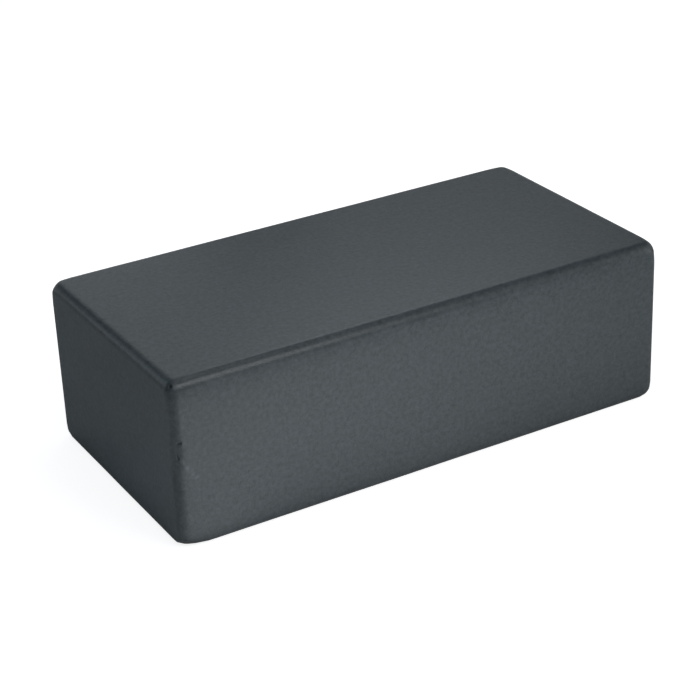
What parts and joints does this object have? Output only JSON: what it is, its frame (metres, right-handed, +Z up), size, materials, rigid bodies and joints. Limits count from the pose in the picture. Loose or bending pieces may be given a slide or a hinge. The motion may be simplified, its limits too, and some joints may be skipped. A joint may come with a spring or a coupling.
{
  "type": "yoga block",
  "caption": "Solid foam yoga block, a flat rectangular brick with rolled edges and blunt corners, used as a support under a hand, foot or seat.",
  "frame": {"origin": "middle of the underside, on the surface that the block lies on", "axes": "+X along the length, -Y towards the front long side, +Z up through the smallest dimension"},
  "size_m": [0.22, 0.11, 0.07],
  "materials": {
    "foam": "matt closed-cell EVA foam with a fine grain, dark slate grey"
  },
  "bodies": {
    "root": {"foam_block": "foam"}
  },
  "joints": []
}
